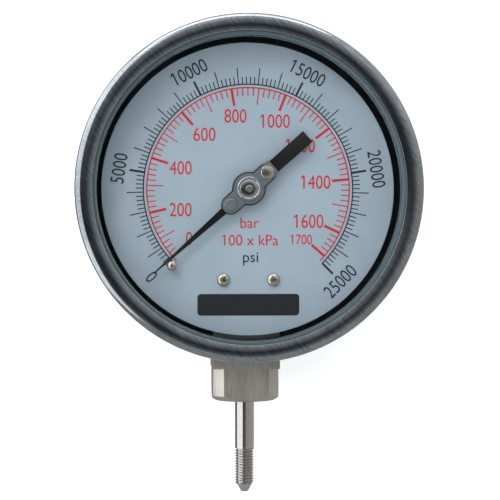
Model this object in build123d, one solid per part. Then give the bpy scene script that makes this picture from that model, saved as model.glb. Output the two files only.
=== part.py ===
# Bourdon-tube pressure gauge, millimetres. Z is up and the dial faces -Y.
# The origin is on the stem axis, at the bottom face of the socket.
import math
import os

from build123d import *

# Clearances
running_gap = 0.05
loose_gap = 0.12
axial_gap = 0.1
braze_gap = 0.03
gear_backlash = 0.04
link_to_plate_gap = 0.55
sector_to_link_gap = 0.15
spring_to_plate_gap = 0.9
pinion_to_spring_gap = 0.7
collet_to_spring_gap = 0.03
cut_over = 1.0

# Case and bezel
centre_z = 70.0
bezel_r = 55.5
bezel_wall = 1.2
bezel_depth = 12.5
bezel_edge_round = 2.2
bezel_rear_round = 0.4
bezel_lip_round = 0.3
bezel_lip_width = 5.9
bezel_to_flange_gap = 0.8
flange_y = -26.3
flange_thick = 1.2
flange_width = 2.5
case_wall = 1.0
case_back_y = 15.5
case_corner_round = 3.0
lug_count = 4
lug_angle = 20.0
lug_notch_angle = 24.0
lug_thick = 1.0
lug_to_case_gap = 0.6

# Window
glass_thick = 4.0
gasket_leg = 1.0
gasket_side = 2.1
gasket_to_bezel_gap = 1.0
gasket_front_width = 4.7
gasket_rear_width = 3.1
glass_edge_gap = 0.1

# Dial
dial_to_flange = 4.8
dial_thick = 0.9
dial_edge_gap = 2.6
dial_hole_r = 3.5
dial_screw_x = 8.1
dial_screw_drop = 29.4
dial_screw_head_r = 2.1
dial_screw_head_thick = 1.4
dial_screw_head_round = 0.98
dial_screw_r = 1.2
dial_screw_length = 6.0
dial_post_r = 2.2
cross_slot_width = 0.6
cross_slot_length = 2.4
cross_slot_depth = 0.7
stop_pin_r = 1.55
stop_pin_length = 4.0
stop_pin_round = 1.15
stop_pin_shank_r = 0.8
stop_pin_radius = 35.0
zero_angle = 225.0

# Pointer
pointer_rest = 3.3
pointer_length = 41.0
pointer_root = 10.7
pointer_root_width = 2.5
pointer_tip_width = 0.4
pointer_tail_length = 25.4
pointer_tail_start_width = 4.3
pointer_tail_end_width = 4.65
blade_to_dial = 2.6
blade_thick = 0.45
blade_disc_r = 5.4
blade_lobe_r = 3.1
blade_play = 0.05
adjust_plate_thick = 0.6
adjust_plate_r = 5.0
adjust_lobe_r = 2.75
adjust_lobe_offset = 7.9
adjust_square_end = 10.7
adjust_corner_round = 0.6
trim_travel = 8.2
trim_shank_r = 0.9
adjust_screw_head_r = 2.2
adjust_screw_head_thick = 0.8
adjust_screw_head_round = 0.25
rivet_head_r = 2.0
rivet_head_thick = 0.45
rivet_head_round = 0.2
rivet_back_r = 1.6
rivet_back_thick = 0.35
screw_slot_width = 0.55
adjust_slot_angle = -25.0
screw_slot_depth = 0.4
hub_boss_r = 2.9
hub_ring_r = 3.9
hub_ring_width = 1.0
hub_ring_chamfer = 0.25
hub_ring_thick = 1.1
hub_dish_depth = 0.6
hub_bore_r = 1.0
hub_back = 1.5

# Movement plates
plate_half_width = 10.0
plate_thick = 1.5
front_plate_thick = 1.2
plate_space = 4.8
plate_bottom_z = 22.0
plate_top_rise = 30.0
front_plate_drop = 23.0
plate_corner_round = 2.5
pillar_r = 1.6
pillar_screw_r = 0.9
pillar_screw_depth = 2.3
pillar_screw_head_r = 1.9
pillar_screw_head_thick = 1.0
pillar_places = [(-7.5, -18.0), (7.5, -18.0), (-7.0, 27.0), (8.0, 16.0)]
foot_screw_x = 6.5
foot_screw_z = 28.0
foot_screw_r = 1.5
foot_screw_head_r = 2.6
foot_screw_head_thick = 1.8
foot_screw_depth = 5.5

# Gear train
module = 0.3
pinion_teeth = 12
gear_ratio = 12
sector_teeth_before = 2
sector_teeth_after = 11
pressure_angle = 20.0
pinion_addendum = 0.3
sector_addendum = 0.2
pinion_dedendum = 0.32
sector_dedendum = 0.4
pinion_length = 2.2
sector_thick = 1.2
sector_rim = 2.4
sector_hub_r = 3.0
sector_arm_width = 2.4
sector_tail_r = 6.0
sector_tail_angle = 44.55
sector_tail_end_r = 1.6
sector_arm_inset = 4.0
tooth_foot = 0.3
tooth_flank_steps = 5
arbor_r = 1.25
sector_arbor_r = 1.0
pivot_r = 0.7
pivot_end = 0.2

# Hairspring
collet_r = 2.0
hairspring_width = 0.6
hairspring_thick = 0.15
hairspring_pitch = 1.0
hairspring_turns = 4.5
hairspring_points_per_turn = 18
hairspring_stud_size = 1.1

# Pressure tube
coil_r = 30.0
coil_pitch = 5.8
coil_extra_turns = 2
coil_start_y = 8.2
coil_lead_angle = 12.0
tube_axial = 4.6
tube_radial = 3.4
tube_wall = 0.5
tip_angle = 46.32
tip_back = 3.0
tip_front = 2.4
tip_half_height = 2.6
tip_half_depth = 3.2
tip_arm_r = 1.6
link_width = 2.0
link_end_r = 1.3
link_thick = 0.6
link_pin_r = 0.6
link_pin_head_r = 1.0
link_pin_head_thick = 0.3
link_pin_depth = 2.0

# Socket and stem
socket_width = 22.2
socket_top_z = 34.0
socket_turned_r = 13.2
socket_turned_z = 11.0
wrench_flat_depth = 0.2
socket_face_r = 10.0
socket_face_angle = 30.0
socket_bore_r = 1.2
socket_cross_z = 31.0
tube_lug_low = 1.0
tube_lug_high = 10.5
tube_lug_half_depth = 3.2
tube_lug_rise = 3.0
tube_pocket_angle = 4.0
socket_gasket_thick = 1.6
socket_gasket_lip = 0.6
case_screw_places = [(-7.0, 27.0), (7.0, 27.0), (0.0, 31.0)]
case_screw_r = 1.9
case_screw_head_r = 3.4
case_screw_head_thick = 2.0
case_screw_head_round = 0.9
case_screw_cross = (4.0, 0.8)
case_screw_cross_depth = 1.1
case_screw_depth = 4.2
pad_half_width = 10.5
pad_bottom_z = 23.5
stem_r = 3.175
stem_plain_length = 16.6
stem_spigot_r = 4.5
stem_spigot_length = 8.0
stem_bore_r = 0.8
thread_pitch = 25.4 / 28
thread_depth = 0.5
thread_flank = 0.4
thread_root = 0.15
thread_crest = 0.07
thread_crest_drop = 0.02
thread_length = 11.6
cone_tip_r = 1.1
cone_half_angle = 29.5

# Case plugs
vent_plug_r = 3.0
vent_plug_head_r = 4.6
vent_plug_head_rise = 2.4
vent_plug_round = 1.1
vent_plug_reach = 9.0
vent_plug_inner_r = 3.6
vent_plug_inner_drop = 1.4
blowout_r = 14.0
blowout_rim = 1.4
blowout_rim_thick = 0.8
blowout_rim_slope = 0.6
blowout_rise = 5.0

# Sizes that follow from the ones above
case_r = bezel_r - bezel_wall - bezel_to_flange_gap - flange_width
case_inner_r = case_r - case_wall
flange_r = case_r + flange_width
case_back_inner_y = case_back_y - case_wall
glass_back_y = flange_y - gasket_leg
glass_front_y = glass_back_y - glass_thick
gasket_front_y = glass_front_y - gasket_leg
bezel_front_y = gasket_front_y - bezel_wall
bezel_inner_r = bezel_r - bezel_wall
gasket_r = bezel_inner_r - gasket_to_bezel_gap
glass_r = gasket_r - gasket_side - glass_edge_gap
dial_back_y = flange_y + dial_to_flange + dial_thick
dial_front_y = dial_back_y - dial_thick
dial_r = case_inner_r - dial_edge_gap
socket_half = socket_width / 2
rear_plate_back_y = -socket_half
rear_plate_front_y = rear_plate_back_y - plate_thick
front_plate_back_y = rear_plate_front_y - plate_space
front_plate_front_y = front_plate_back_y - front_plate_thick
blade_back_y = dial_front_y - blade_to_dial
blade_front_y = blade_back_y - blade_thick
adjust_back_y = blade_front_y - blade_play
adjust_front_y = adjust_back_y - adjust_plate_thick
hub_front_y = adjust_front_y - hub_ring_thick
hub_back_y = blade_back_y + hub_back
pinion_r = module * pinion_teeth / 2
sector_r = pinion_r * gear_ratio
gear_centres = pinion_r + sector_r
sector_z = centre_z + gear_centres
link_back_y = rear_plate_front_y - link_to_plate_gap
link_front_y = link_back_y - link_thick
sector_back_y = link_front_y - sector_to_link_gap
sector_front_y = sector_back_y - sector_thick
spring_back_y = front_plate_back_y + spring_to_plate_gap
spring_front_y = spring_back_y - hairspring_width
pinion_front_y = spring_back_y + pinion_to_spring_gap
pinion_back_y = pinion_front_y + pinion_length
pointer_angle = zero_angle - pointer_rest
tube_lug_top_z = centre_z - coil_r + tube_lug_rise
screw_back_y = case_back_y + case_screw_head_thick


def across(x, z, y):
    """The plane facing -Y at height z, with its own x to the right and y up."""
    return Plane(origin=(x, y, z), x_dir=(1, 0, 0), z_dir=(0, -1, 0))


def disc(x, z, radius, y_low, y_high):
    return extrude(across(x, z, y_high) * Circle(radius), y_high - y_low)


def slab(shape, y_low, y_high, x=0.0, z=centre_z):
    """A flat outline, drawn about the gauge centre, given its thickness."""
    return extrude(across(x, z, y_high) * shape, y_high - y_low)


def lathe(points, x=0.0, z=centre_z):
    """Turned about an axis along Y, from pairs of radius and y."""
    outline = Polyline(*[(x + r, y, z) for r, y in points], close=True)
    return revolve(make_face(outline), axis=Axis((x, 0, z), (0, 1, 0)))


def turned_upright(points):
    """Turned about Z, from pairs of radius and z."""
    outline = Polyline(*[(r, 0, z) for r, z in points], close=True)
    return revolve(make_face(outline), axis=Axis((0, 0, 0), (0, 0, 1)))


def block(x_low, x_high, y_low, y_high, z_low, z_high):
    size = (x_high - x_low, y_high - y_low, z_high - z_low)
    middle = ((x_low + x_high) / 2, (y_low + y_high) / 2, (z_low + z_high) / 2)
    return Pos(*middle) * Box(*size)


def rod(start, end, radius):
    run = Vector(*end) - Vector(*start)
    return extrude(Plane(origin=start, z_dir=run) * Circle(radius), run.length)


def ring_edges(shape, radius, y):
    circles = shape.edges().filter_by(GeomType.CIRCLE)
    return circles.filter_by(
        lambda edge: abs(edge.radius - radius) < 0.01
        and abs(edge.arc_center.Y - y) < 0.01
    )


def on_dial(radius, angle):
    """Offset from the gauge centre, in the plane of the dial."""
    turn = math.radians(angle)
    return (radius * math.cos(turn), radius * math.sin(turn))


def wedge(radius, middle_angle, spread):
    """A pie slice about the gauge centre, wider than the parts it cuts."""
    reach = radius / math.cos(math.radians(spread / 2))
    first = on_dial(reach, middle_angle - spread / 2)
    last = on_dial(reach, middle_angle + spread / 2)
    return Polygon((0, 0), first, last, align=None)


def lug_middles(offset):
    return [offset + 360.0 * index / lug_count for index in range(lug_count)]


def make_case():
    shell = lathe([
        (0, case_back_y),
        (case_r, case_back_y),
        (case_r, flange_y + flange_thick),
        (flange_r, flange_y + flange_thick),
        (flange_r, flange_y),
        (case_inner_r, flange_y),
        (case_inner_r, case_back_inner_y),
        (0, case_back_inner_y),
    ])
    shell = fillet(ring_edges(shell, case_r, case_back_y), case_corner_round)
    inner_round = case_corner_round - case_wall
    shell = fillet(ring_edges(shell, case_inner_r, case_back_inner_y), inner_round)
    hole_half = socket_half + socket_gasket_thick
    shell -= block(-hole_half, hole_half, -hole_half, hole_half, 0, pad_bottom_z)
    shell -= disc(0, centre_z + blowout_rise, blowout_r, case_back_inner_y, case_back_y)
    for x, z in case_screw_places:
        shell -= disc(x, z, case_screw_r, case_back_inner_y - cut_over, case_back_y + cut_over)
    vent_base = (0, 0, centre_z)
    shell -= rod(vent_base, (0, 0, centre_z + bezel_r), vent_plug_r)
    notch_band = lathe([
        (case_r + lug_to_case_gap / 2, flange_y + flange_thick + cut_over),
        (flange_r + cut_over, flange_y + flange_thick + cut_over),
        (flange_r + cut_over, flange_y - cut_over),
        (case_r + lug_to_case_gap / 2, flange_y - cut_over),
    ])
    for middle in lug_middles(0):
        notch = slab(wedge(bezel_r, middle, lug_notch_angle), flange_y - cut_over, 0)
        shell -= notch_band & notch
    return shell


def make_bezel_ring():
    lip_r = bezel_r - bezel_lip_width
    rear_y = bezel_front_y + bezel_depth
    ring = lathe([
        (lip_r, bezel_front_y),
        (bezel_r, bezel_front_y),
        (bezel_r, rear_y),
        (bezel_inner_r, rear_y),
        (bezel_inner_r, bezel_front_y + bezel_wall),
        (lip_r, bezel_front_y + bezel_wall),
    ])
    ring = fillet(ring_edges(ring, bezel_r, bezel_front_y), bezel_edge_round)
    ring = fillet(ring_edges(ring, bezel_r, rear_y), bezel_rear_round)
    ring = fillet(ring_edges(ring, lip_r, bezel_front_y), bezel_lip_round)
    lug_front_y = flange_y + flange_thick + axial_gap
    lug_back_y = lug_front_y + lug_thick
    lug_band = lathe([
        (case_r + lug_to_case_gap, lug_back_y),
        (bezel_r - bezel_wall / 2, lug_back_y),
        (bezel_r - bezel_wall / 2, lug_front_y),
        (case_r + lug_to_case_gap, lug_front_y),
    ])
    for middle in lug_middles(180 / lug_count):
        ring += lug_band & slab(wedge(bezel_r, middle, lug_angle), flange_y, 0)
    return ring


def make_window_gasket():
    groove_r = gasket_r - gasket_side
    return lathe([
        (gasket_r - gasket_front_width, gasket_front_y),
        (gasket_r, gasket_front_y),
        (gasket_r, flange_y),
        (gasket_r - gasket_rear_width, flange_y),
        (gasket_r - gasket_rear_width, glass_back_y),
        (groove_r, glass_back_y),
        (groove_r, glass_front_y),
        (gasket_r - gasket_front_width, glass_front_y),
    ])


def make_window_glass():
    return disc(0, centre_z, glass_r, glass_front_y, glass_back_y)


def make_dial_plate():
    plate = disc(0, centre_z, dial_r, dial_front_y, dial_back_y)
    plate -= disc(0, centre_z, dial_hole_r, dial_front_y, dial_back_y)
    for x in (-dial_screw_x, dial_screw_x):
        z = centre_z - dial_screw_drop
        plate -= disc(x, z, dial_screw_r, dial_front_y, dial_back_y)
    x, rise = on_dial(stop_pin_radius, zero_angle)
    plate -= disc(x, centre_z + rise, stop_pin_shank_r, dial_front_y, dial_back_y)
    return plate


def make_dial_screws():
    head_front_y = dial_front_y - dial_screw_head_thick
    screws = Part()
    for x in (-dial_screw_x, dial_screw_x):
        z = centre_z - dial_screw_drop
        head = disc(x, z, dial_screw_head_r, head_front_y, dial_front_y)
        rim = ring_edges(head, dial_screw_head_r, head_front_y)
        head = fillet(rim, dial_screw_head_round)
        for width, height in ((1, 0), (0, 1)):
            wide = cross_slot_width + (cross_slot_length - cross_slot_width) * width
            high = cross_slot_width + (cross_slot_length - cross_slot_width) * height
            slot = Rectangle(wide, high)
            head -= slab(slot, head_front_y, head_front_y + cross_slot_depth, x, z)
        end_y = dial_front_y + dial_screw_length
        screws += head + disc(x, z, dial_screw_r, dial_front_y, end_y)
    return screws


def make_dial_posts():
    posts = Part()
    bore_end_y = dial_front_y + dial_screw_length
    for x in (-dial_screw_x, dial_screw_x):
        z = centre_z - dial_screw_drop
        post = disc(x, z, dial_post_r, dial_back_y, rear_plate_front_y)
        post += disc(x, z, dial_screw_r, rear_plate_front_y, rear_plate_back_y)
        post -= disc(x, z, dial_screw_r, dial_back_y, bore_end_y)
        posts += post
    return posts


def make_stop_pin():
    x, rise = on_dial(stop_pin_radius, zero_angle)
    z = centre_z + rise
    front_y = dial_front_y - stop_pin_length
    pin = disc(x, z, stop_pin_r, front_y, dial_front_y)
    pin = fillet(ring_edges(pin, stop_pin_r, front_y), stop_pin_round)
    return pin + disc(x, z, stop_pin_shank_r, dial_front_y, dial_back_y)


def pointed_along(shape):
    """Turns an outline drawn along +x to lie along the resting pointer."""
    return Rot(0, 0, pointer_angle) * shape


def trim_slot(middle_angle):
    """An arc slot for a fixed shank, open anticlockwise by the trim travel."""
    outer = Circle(adjust_lobe_offset + trim_shank_r + blade_play)
    inner = Circle(adjust_lobe_offset - trim_shank_r - blade_play)
    low = middle_angle
    high = middle_angle + trim_travel
    half = wedge(pointer_root * 2, (low + high) / 2, high - low)
    slot = (outer - inner) & half
    for angle in (low, high):
        end = Pos(*on_dial(adjust_lobe_offset, angle))
        slot += end * Circle(trim_shank_r + blade_play)
    return slot


def make_pointer_blade():
    half_root = pointer_root_width / 2
    half_tip = pointer_tip_width / 2
    half_start = pointer_tail_start_width / 2
    half_end = pointer_tail_end_width / 2
    outline = Circle(blade_disc_r)
    outline += Polygon(
        (0, -half_root),
        (pointer_root, -half_root),
        (pointer_length, -half_tip),
        (pointer_length, half_tip),
        (pointer_root, half_root),
        (0, half_root),
        align=None,
    )
    outline += Polygon(
        (0, half_start),
        (-pointer_tail_length, half_end),
        (-pointer_tail_length, -half_end),
        (0, -half_start),
        align=None,
    )
    outline += Rectangle(adjust_lobe_offset * 2, blade_lobe_r * 2)
    for offset in (-adjust_lobe_offset, adjust_lobe_offset):
        outline += Pos(offset, 0) * Circle(blade_lobe_r)
    outline -= Circle(hub_boss_r + running_gap)
    outline -= trim_slot(0)
    outline -= trim_slot(180)
    return slab(pointed_along(outline), blade_front_y, blade_back_y)


def make_adjust_plate():
    outline = Circle(adjust_plate_r)
    outline += Rectangle(adjust_lobe_offset * 2, adjust_lobe_r * 2)
    outline += Pos(adjust_lobe_offset, 0) * Circle(adjust_lobe_r)
    square = adjust_square_end - adjust_lobe_offset + adjust_lobe_r
    middle = adjust_square_end - square / 2
    outline += Pos(-middle, 0) * RectangleRounded(square, adjust_lobe_r * 2, adjust_corner_round)
    outline -= Circle(hub_boss_r)
    outline -= Pos(adjust_lobe_offset, 0) * Circle(trim_shank_r)
    outline -= Pos(-adjust_lobe_offset, 0) * Circle(trim_shank_r + running_gap)
    return slab(pointed_along(outline), adjust_front_y, adjust_back_y)


def make_pointer_hub():
    return lathe([
        (hub_bore_r, hub_front_y + hub_dish_depth),
        (hub_ring_r - hub_ring_width, hub_front_y + hub_dish_depth / 2),
        (hub_ring_r - hub_ring_width, hub_front_y),
        (hub_ring_r - hub_ring_chamfer, hub_front_y),
        (hub_ring_r, hub_front_y + hub_ring_chamfer),
        (hub_ring_r, adjust_front_y),
        (hub_boss_r, adjust_front_y),
        (hub_boss_r, hub_back_y),
        (hub_bore_r, hub_back_y),
    ])


def make_adjust_screw():
    x, rise = on_dial(adjust_lobe_offset, pointer_angle + 180)
    z = centre_z + rise
    head_back_y = adjust_front_y - blade_play
    head_front_y = head_back_y - adjust_screw_head_thick
    screw = disc(x, z, adjust_screw_head_r, head_front_y, head_back_y)
    screw = fillet(ring_edges(screw, adjust_screw_head_r, head_front_y), adjust_screw_head_round)
    slot = Rot(0, 0, adjust_slot_angle) * Rectangle(adjust_screw_head_r * 2.5, screw_slot_width)
    screw -= slab(slot, head_front_y, head_front_y + screw_slot_depth, x, z)
    end_y = blade_back_y + blade_play
    screw += disc(x, z, trim_shank_r, head_back_y, end_y)
    return screw + disc(x, z, rivet_back_r, end_y, end_y + rivet_back_thick)


def make_pointer_rivet():
    x, rise = on_dial(adjust_lobe_offset, pointer_angle)
    z = centre_z + rise
    head_front_y = adjust_front_y - rivet_head_thick
    rivet = disc(x, z, rivet_head_r, head_front_y, adjust_front_y)
    rivet = fillet(ring_edges(rivet, rivet_head_r, head_front_y), rivet_head_round)
    end_y = blade_back_y + blade_play
    rivet += disc(x, z, trim_shank_r, adjust_front_y, end_y)
    return rivet + disc(x, z, rivet_back_r, end_y, end_y + rivet_back_thick)


def make_centre_arbor():
    shoulder_y = rear_plate_front_y - axial_gap
    arbor = disc(0, centre_z, arbor_r, hub_back_y, shoulder_y)
    arbor += disc(0, centre_z, hub_bore_r, hub_front_y + hub_dish_depth / 2, hub_back_y)
    return arbor + disc(0, centre_z, pivot_r, shoulder_y, rear_plate_back_y + pivot_end)


def involute(base_r, radius):
    """Angle in radians that the tooth flank has turned at this radius."""
    slope = math.sqrt(max(0.0, (radius / base_r) ** 2 - 1))
    return slope - math.atan(slope)


def tooth(pitch_r, root_r, outer_r, middle_angle):
    """One gear tooth about the origin, its flanks thinned for backlash."""
    base_r = pitch_r * math.cos(math.radians(pressure_angle))
    half_at_pitch = (math.pi * module / 2 - gear_backlash) / 2 / pitch_r
    at_pitch = half_at_pitch + involute(base_r, pitch_r)
    flank = []
    for step in range(tooth_flank_steps + 1):
        radius = root_r + (outer_r - root_r) * step / tooth_flank_steps
        half = at_pitch - involute(base_r, max(radius, base_r))
        flank.append((radius, math.degrees(half)))
    foot = [(root_r - tooth_foot, flank[0][1])]
    right = [on_dial(r, middle_angle - half) for r, half in foot + flank]
    left = [on_dial(r, middle_angle + half) for r, half in foot + flank]
    return Polygon(*right, *reversed(left), align=None)


def make_centre_pinion():
    root_r = pinion_r - pinion_dedendum
    outline = Circle(root_r)
    for index in range(pinion_teeth):
        middle = 90 + 360 * (index + 0.5) / pinion_teeth
        outline += tooth(pinion_r, root_r, pinion_r + pinion_addendum, middle)
    outline -= Circle(arbor_r)
    return slab(outline, pinion_front_y, pinion_back_y)


def make_sector_gear():
    step = 360 / (pinion_teeth * gear_ratio)
    root_r = sector_r - sector_dedendum
    low = 270 - step * (sector_teeth_after + 0.5)
    high = 270 + step * (sector_teeth_before + 0.5)
    rim = Circle(root_r) - Circle(root_r - sector_rim)
    outline = rim & wedge(sector_r * 1.5, (low + high) / 2, high - low)
    for index in range(-sector_teeth_after, sector_teeth_before + 1):
        angle = 270 + step * index
        outline += tooth(sector_r, root_r, sector_r + sector_addendum, angle)
    reach = root_r - sector_rim / 2
    for angle in (low + sector_arm_inset, high - sector_arm_inset):
        arm = Rectangle(reach, sector_arm_width, align=(Align.MIN, Align.CENTER))
        outline += Rot(0, 0, angle) * arm
    tail = Rectangle(sector_tail_r, sector_arm_width, align=(Align.MIN, Align.CENTER))
    outline += Rot(0, 0, sector_tail_angle) * tail
    tail_end = Pos(*on_dial(sector_tail_r, sector_tail_angle))
    outline += tail_end * Circle(sector_tail_end_r)
    outline += Circle(sector_hub_r)
    outline -= Circle(sector_arbor_r)
    outline -= tail_end * Circle(link_pin_r)
    return slab(outline, sector_front_y, sector_back_y, 0, sector_z)


def make_sector_arbor():
    rear_shoulder = rear_plate_front_y - axial_gap
    front_shoulder = front_plate_back_y + axial_gap
    rear_end = rear_plate_back_y + pivot_end
    front_end = front_plate_front_y - pivot_end
    arbor = disc(0, sector_z, sector_arbor_r, front_shoulder, rear_shoulder)
    return arbor + disc(0, sector_z, pivot_r, front_end, rear_end)


def tail_place():
    x, rise = on_dial(sector_tail_r, sector_tail_angle)
    return (x, sector_z + rise)


def tip_place():
    x, rise = on_dial(coil_r, tip_angle)
    return (x, centre_z + rise)


def make_sector_pin():
    x, z = tail_place()
    link_side = link_back_y + axial_gap / 2
    pin = disc(x, z, link_pin_r, sector_front_y, link_side)
    front_y = sector_front_y - link_pin_head_thick
    pin += disc(x, z, link_pin_head_r, front_y, sector_front_y)
    return pin + disc(x, z, link_pin_head_r, link_side, link_side + link_pin_head_thick)


def make_tip_pin():
    x, z = tip_place()
    head_y = link_front_y - axial_gap / 2
    pin = disc(x, z, link_pin_r, head_y, tip_arm_front_y() + link_pin_depth)
    return pin + disc(x, z, link_pin_head_r, head_y - link_pin_head_thick, head_y)


def make_link():
    ax, az = tail_place()
    bx, bz = tip_place()
    length = math.dist((ax, az), (bx, bz))
    angle = math.degrees(math.atan2(bz - az, bx - ax))
    bar = Rectangle(length, link_width, align=(Align.MIN, Align.CENTER))
    bar += Circle(link_end_r)
    bar += Pos(length, 0) * Circle(link_end_r)
    bar -= Circle(link_pin_r + running_gap)
    bar -= Pos(length, 0) * Circle(link_pin_r + loose_gap)
    return slab(Rot(0, 0, angle) * bar, link_front_y, link_back_y, ax, az)


def coil_solid(axial, radial, lead):
    """The coiled tube's outside, from its lug, clockwise round to the tip."""
    sweep_angle = 270 + lead - tip_angle + 360 * coil_extra_turns
    start_y = coil_start_y + coil_pitch * (lead - coil_lead_angle) / 360
    start_turn = math.radians(270 + lead)
    outwards = (math.cos(start_turn), 0, math.sin(start_turn))
    frame = Plane(origin=(0, start_y, centre_z), x_dir=outwards, z_dir=(0, -1, 0))
    path = frame * Helix(coil_pitch, coil_pitch * sweep_angle / 360, coil_r, lefthand=True)
    section_frame = Plane(origin=path @ 0, x_dir=outwards, z_dir=path % 0)
    section = section_frame * Ellipse(radial / 2, axial / 2)
    return sweep(section, path=path, is_frenet=True)


def tip_centre_y():
    sweep_angle = 270 + coil_lead_angle - tip_angle + 360 * coil_extra_turns
    return coil_start_y - coil_pitch * sweep_angle / 360


def tip_arm_front_y():
    return link_back_y + axial_gap


def make_bourdon_tube():
    outside = coil_solid(tube_axial, tube_radial, coil_lead_angle)
    inner_axial = tube_axial - 2 * tube_wall
    inner_radial = tube_radial - 2 * tube_wall
    return outside - coil_solid(inner_axial, inner_radial, coil_lead_angle)


def make_tip_piece():
    x, z = tip_place()
    middle_y = tip_centre_y()
    run = Rectangle(tip_back + tip_front, tip_half_height * 2)
    shifted = Pos((tip_front - tip_back) / 2, 0) * run
    outline = Rot(0, 0, tip_angle - 90) * shifted
    low = middle_y - tip_half_depth
    body = slab(outline, low, middle_y + tip_half_depth, x, z)
    body -= coil_solid(tube_axial + 2 * braze_gap, tube_radial + 2 * braze_gap, 0)
    body += disc(x, z, tip_arm_r, tip_arm_front_y(), low)
    return body - disc(x, z, link_pin_r, tip_arm_front_y(), tip_arm_front_y() + link_pin_depth)


def make_hairspring_collet():
    ring = disc(0, centre_z, collet_r, spring_front_y, spring_back_y)
    return ring - disc(0, centre_z, arbor_r, spring_front_y, spring_back_y)


def spiral_point(angle, offset):
    radius = collet_r + collet_to_spring_gap + hairspring_pitch * angle / 360 + offset
    return on_dial(radius, 90 - angle)


def make_hairspring():
    total = 360 * hairspring_turns
    count = int(hairspring_turns * hairspring_points_per_turn)
    angles = [total * index / count for index in range(count + 1)]
    inner = Spline(*[spiral_point(angle, 0) for angle in angles])
    outer = Spline(*[spiral_point(angle, hairspring_thick) for angle in angles])
    ends = [Line(inner @ 0, outer @ 0), Line(inner @ 1, outer @ 1)]
    outline = make_face([inner, outer] + ends)
    return slab(outline, spring_front_y, spring_back_y)


def stud_place():
    """Just past the outer end of the hairspring."""
    total = 360 * hairspring_turns
    radius = collet_r + hairspring_pitch * hairspring_turns + hairspring_thick / 2
    past = math.degrees(hairspring_stud_size / 2 / radius)
    return on_dial(radius, 90 - total - past)


def make_hairspring_stud():
    x, rise = stud_place()
    post = Rectangle(hairspring_stud_size, hairspring_stud_size)
    turned = Rot(0, 0, -360 * hairspring_turns) * post
    return slab(turned, front_plate_back_y, spring_back_y, x, centre_z + rise)


def plate_outline(low_z, high_z):
    height = high_z - low_z
    outline = RectangleRounded(plate_half_width * 2, height, plate_corner_round)
    return Pos(0, (low_z + high_z) / 2 - centre_z) * outline


def make_rear_plate():
    outline = plate_outline(plate_bottom_z, centre_z + plate_top_rise)
    outline -= Circle(pivot_r + running_gap)
    outline -= Pos(0, gear_centres) * Circle(pivot_r + running_gap)
    for x, rise in pillar_places:
        outline -= Pos(x, rise) * Circle(pillar_screw_r)
    for side in (-1, 1):
        outline -= Pos(side * dial_screw_x, -dial_screw_drop) * Circle(dial_screw_r)
        foot = Pos(side * foot_screw_x, foot_screw_z - centre_z)
        outline -= foot * Circle(foot_screw_r)
    return slab(outline, rear_plate_front_y, rear_plate_back_y)


def make_front_plate():
    outline = plate_outline(centre_z - front_plate_drop, centre_z + plate_top_rise)
    outline -= Circle(arbor_r + running_gap)
    outline -= Pos(0, gear_centres) * Circle(pivot_r + running_gap)
    for x, rise in pillar_places:
        outline -= Pos(x, rise) * Circle(pillar_screw_r)
    return slab(outline, front_plate_front_y, front_plate_back_y)


def make_pillars():
    pillars = Part()
    for x, rise in pillar_places:
        z = centre_z + rise
        pillar = disc(x, z, pillar_r, front_plate_back_y, rear_plate_front_y)
        bore_end_y = front_plate_back_y + pillar_screw_depth
        pillar -= disc(x, z, pillar_screw_r, front_plate_back_y, bore_end_y)
        pillars += pillar + disc(x, z, pillar_screw_r, rear_plate_front_y, rear_plate_back_y)
    return pillars


def slotted_screw(x, z, front_y, seat_y, end_y, head_r, shank_r, slot_angle):
    """A cheese-head screw along +Y with a driver slot."""
    head = disc(x, z, head_r, front_y, seat_y)
    slot = Rot(0, 0, slot_angle) * Rectangle(head_r * 2.5, screw_slot_width)
    head -= slab(slot, front_y, front_y + screw_slot_depth, x, z)
    return head + disc(x, z, shank_r, seat_y, end_y)


def make_plate_screws():
    screws = Part()
    for index, (x, rise) in enumerate(pillar_places):
        front_y = front_plate_front_y - pillar_screw_head_thick
        end_y = front_plate_back_y + pillar_screw_depth
        screws += slotted_screw(
            x, centre_z + rise, front_y, front_plate_front_y, end_y,
            pillar_screw_head_r, pillar_screw_r, 20 + 40 * index,
        )
    return screws


def make_foot_screws():
    screws = Part()
    for side in (-1, 1):
        front_y = rear_plate_front_y - foot_screw_head_thick
        end_y = rear_plate_back_y + foot_screw_depth
        screws += slotted_screw(
            side * foot_screw_x, foot_screw_z, front_y, rear_plate_front_y, end_y,
            foot_screw_head_r, foot_screw_r, 30 * side,
        )
    return screws


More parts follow.
